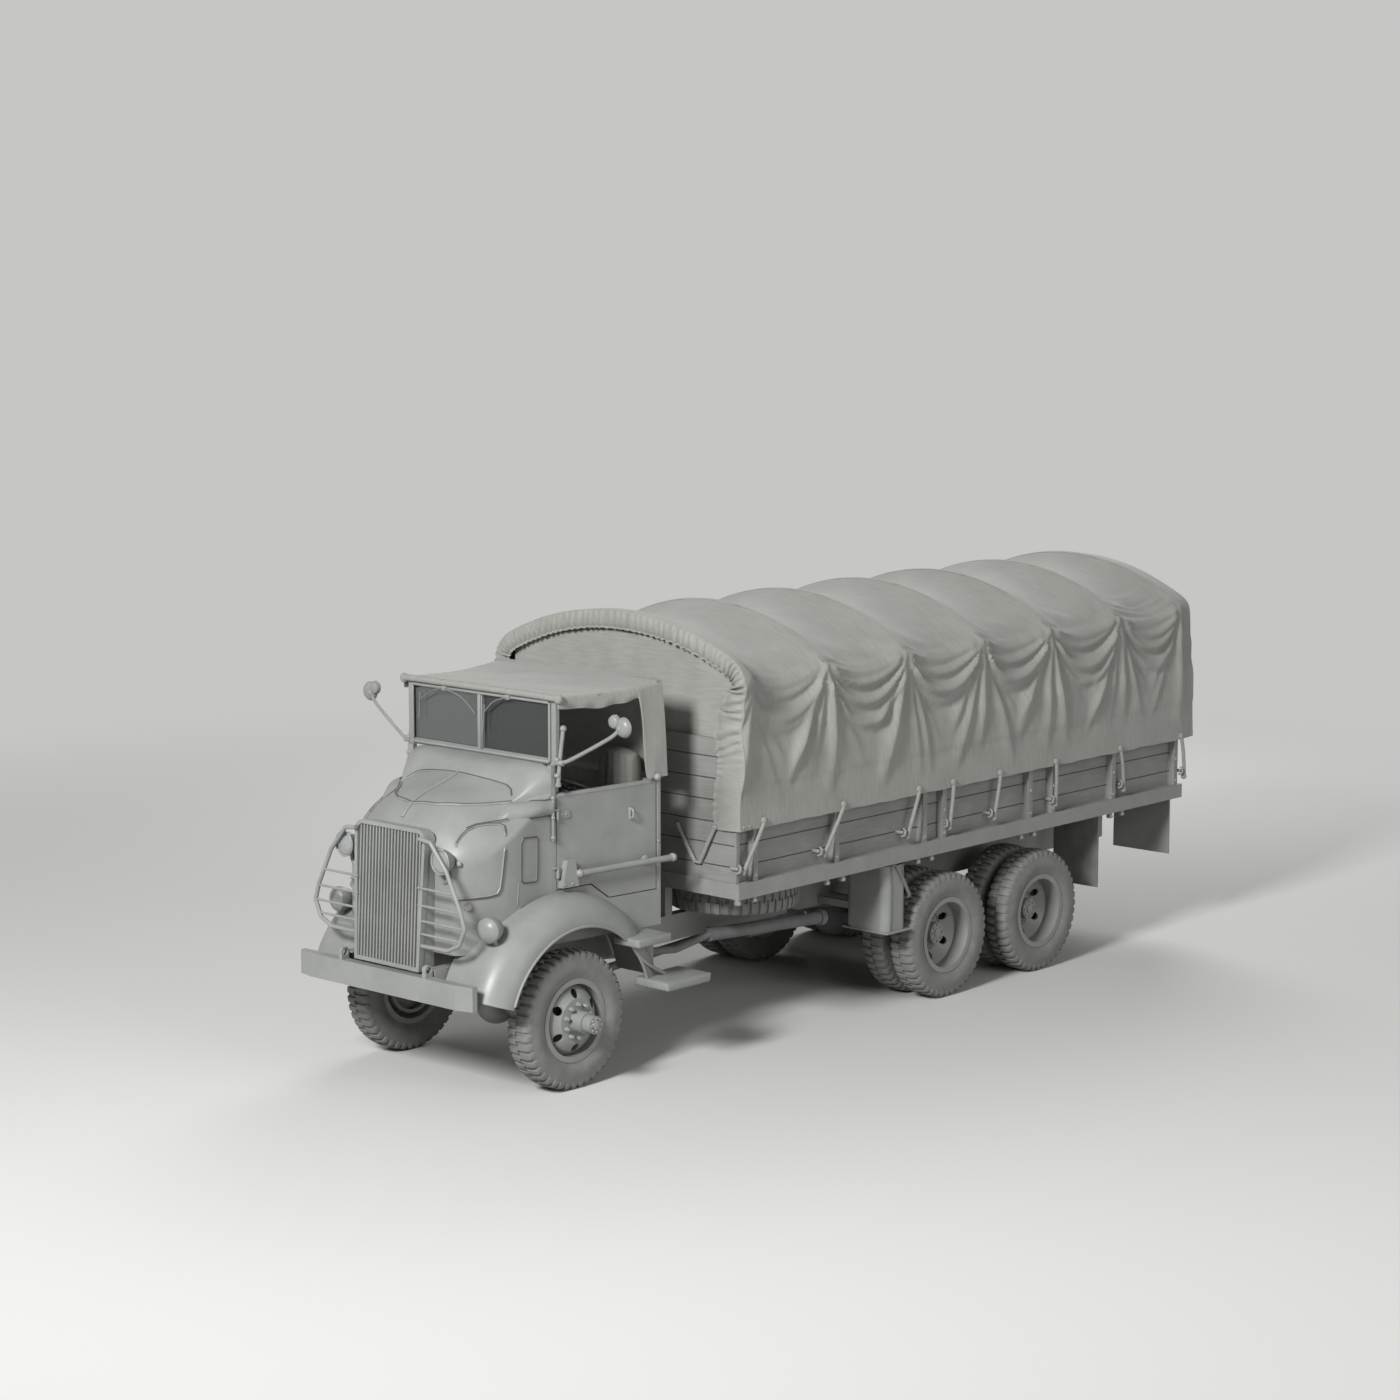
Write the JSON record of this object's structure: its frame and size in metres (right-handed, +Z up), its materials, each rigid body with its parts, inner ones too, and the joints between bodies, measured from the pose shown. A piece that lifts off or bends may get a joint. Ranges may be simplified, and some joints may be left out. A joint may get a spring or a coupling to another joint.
{
  "type": "cab-over military cargo truck",
  "caption": "Cab-over cargo truck with a rounded nose, canvas cab roof and a long board-sided load bed under a bowed canvas cover; steers, rolls, and its doors and tailgate swing.",
  "frame": {"origin": "on the ground under the middle of the truck's overall box", "axes": "+Z up, -Y forwards, +X to the truck's left, +Y along its length to the rear"},
  "size_m": [2.51, 7.6, 2.936],
  "materials": {
    "painted_steel": "matt paint",
    "chassis_iron": "matt paint",
    "tyre_rubber": "dull rubber",
    "canvas": "woven cotton duck",
    "bed_wood": "painted boards",
    "seat_cloth": "canvas seat covers",
    "window_glass": "clear",
    "black_plastic": "smooth"
  },
  "bodies": {
    "chassis": {"bed_floor": "bed_wood", "bed_front_wall": "bed_wood", "bed_runners": "bed_wood", "bed_sides": "bed_wood", "bed_sills": "bed_wood", "brush_guards": "painted_steel", "cab_canvas": "canvas", "cab_top_frame": "painted_steel", "cab_tub": "painted_steel", "canvas_bows": "bed_wood", "cargo_canvas": "canvas", "dash_and_column": "painted_steel", "door_hinge_pins": "painted_steel", "engine_and_gearboxes": "chassis_iron", "engine_cover": "painted_steel", "exhaust": "chassis_iron", "fenders": "painted_steel", "frame_crossmembers": "painted_steel", "frame_rails": "painted_steel", "front_axle": "chassis_iron", "front_bumper": "painted_steel", "front_lamps": "painted_steel", "front_springs": "chassis_iron", "fuel_tank": "painted_steel", "grille": "painted_steel", "mirrors": "painted_steel", "mud_flaps": "tyre_rubber", "nose": "painted_steel", "propeller_shafts": "chassis_iron", "radiator": "painted_steel", "rear_axles": "chassis_iron", "rear_plates": "painted_steel", "rear_suspension": "chassis_iron", "seats": "seat_cloth", "spare_tyre": "tyre_rubber", "spare_wheel": "painted_steel", "tailgate_pins": "painted_steel", "tool_box": "painted_steel", "windscreen_frame": "painted_steel", "windscreen_glass": "window_glass"},
    "door_left": {"door_left": "painted_steel"},
    "door_right": {"door_right": "painted_steel"},
    "tailgate": {"tailgate": "bed_wood"},
    "knuckle_left": {"knuckle_left": "chassis_iron"},
    "knuckle_right": {"knuckle_right": "chassis_iron"},
    "tie_rod": {"tie_rod": "chassis_iron"},
    "front_wheel_left": {"front_tyre_left": "tyre_rubber", "front_wheel_left": "painted_steel"},
    "front_wheel_right": {"front_tyre_right": "tyre_rubber", "front_wheel_right": "painted_steel"},
    "steering_wheel": {"steering_wheel": "black_plastic"},
    "rear_wheels_left_1": {"rear_tyres_left_1": "tyre_rubber", "rear_wheels_left_1": "painted_steel"},
    "rear_wheels_left_2": {"rear_tyres_left_2": "tyre_rubber", "rear_wheels_left_2": "painted_steel"},
    "rear_wheels_right_1": {"rear_tyres_right_1": "tyre_rubber", "rear_wheels_right_1": "painted_steel"},
    "rear_wheels_right_2": {"rear_tyres_right_2": "tyre_rubber", "rear_wheels_right_2": "painted_steel"}
  },
  "joints": [
    {"name": "door_left_hinge", "type": "hinge", "parent": "chassis", "child": "door_left", "pos_m": [0.68614, -2.87765, 1.4], "axis": [0, 0, -1], "range_deg": [0, 70]},
    {"name": "door_right_hinge", "type": "hinge", "parent": "chassis", "child": "door_right", "pos_m": [-0.68614, -2.87765, 1.4], "axis": [0, 0, 1], "range_deg": [0, 70]},
    {"name": "tailgate_hinge", "type": "hinge", "parent": "chassis", "child": "tailgate", "pos_m": [0, 3.654, 1.173], "axis": [-1, 0, 0], "range_deg": [0, 90]},
    {"name": "knuckle_left_pivot", "type": "hinge", "parent": "chassis", "child": "knuckle_left", "pos_m": [0.64, -2.892, 0.457], "axis": [0, 0, 1], "range_deg": [-27, 27]},
    {"name": "knuckle_right_pivot", "type": "hinge", "parent": "chassis", "child": "knuckle_right", "pos_m": [-0.64, -2.892, 0.457], "axis": [0, 0, 1], "range_deg": [-27, 27]},
    {"name": "tie_rod_pivot", "type": "hinge", "parent": "knuckle_left", "child": "tie_rod", "pos_m": [0.64, -2.682, 0.357], "axis": [0, 0, 1], "range_deg": [-27, 27]},
    {"name": "steering_wheel_turn", "type": "hinge", "parent": "chassis", "child": "steering_wheel", "pos_m": [0.39, -2.492, 1.89], "axis": [0, 0.4222, 0.9065], "range_deg": [-432, 432]},
    {"name": "front_wheel_left_spin", "type": "hinge", "parent": "knuckle_left", "child": "front_wheel_left", "pos_m": [0.765, -2.892, 0.457], "axis": [1, 0, 0], "continuous": true},
    {"name": "front_wheel_right_spin", "type": "hinge", "parent": "knuckle_right", "child": "front_wheel_right", "pos_m": [-0.765, -2.892, 0.457], "axis": [1, 0, 0], "continuous": true},
    {"name": "rear_wheels_left_1_spin", "type": "hinge", "parent": "chassis", "child": "rear_wheels_left_1", "pos_m": [0.868, 0.715, 0.457], "axis": [1, 0, 0], "continuous": true},
    {"name": "rear_wheels_left_2_spin", "type": "hinge", "parent": "chassis", "child": "rear_wheels_left_2", "pos_m": [0.868, 1.833, 0.457], "axis": [1, 0, 0], "continuous": true},
    {"name": "rear_wheels_right_1_spin", "type": "hinge", "parent": "chassis", "child": "rear_wheels_right_1", "pos_m": [-0.868, 0.715, 0.457], "axis": [1, 0, 0], "continuous": true},
    {"name": "rear_wheels_right_2_spin", "type": "hinge", "parent": "chassis", "child": "rear_wheels_right_2", "pos_m": [-0.868, 1.833, 0.457], "axis": [1, 0, 0], "continuous": true}
  ],
  "couplings": [
    {"joint": "knuckle_right_pivot", "follows": "knuckle_left_pivot", "ratio": 1},
    {"joint": "tie_rod_pivot", "follows": "knuckle_left_pivot", "ratio": -1},
    {"joint": "steering_wheel_turn", "follows": "knuckle_left_pivot", "ratio": 16}
  ]
}
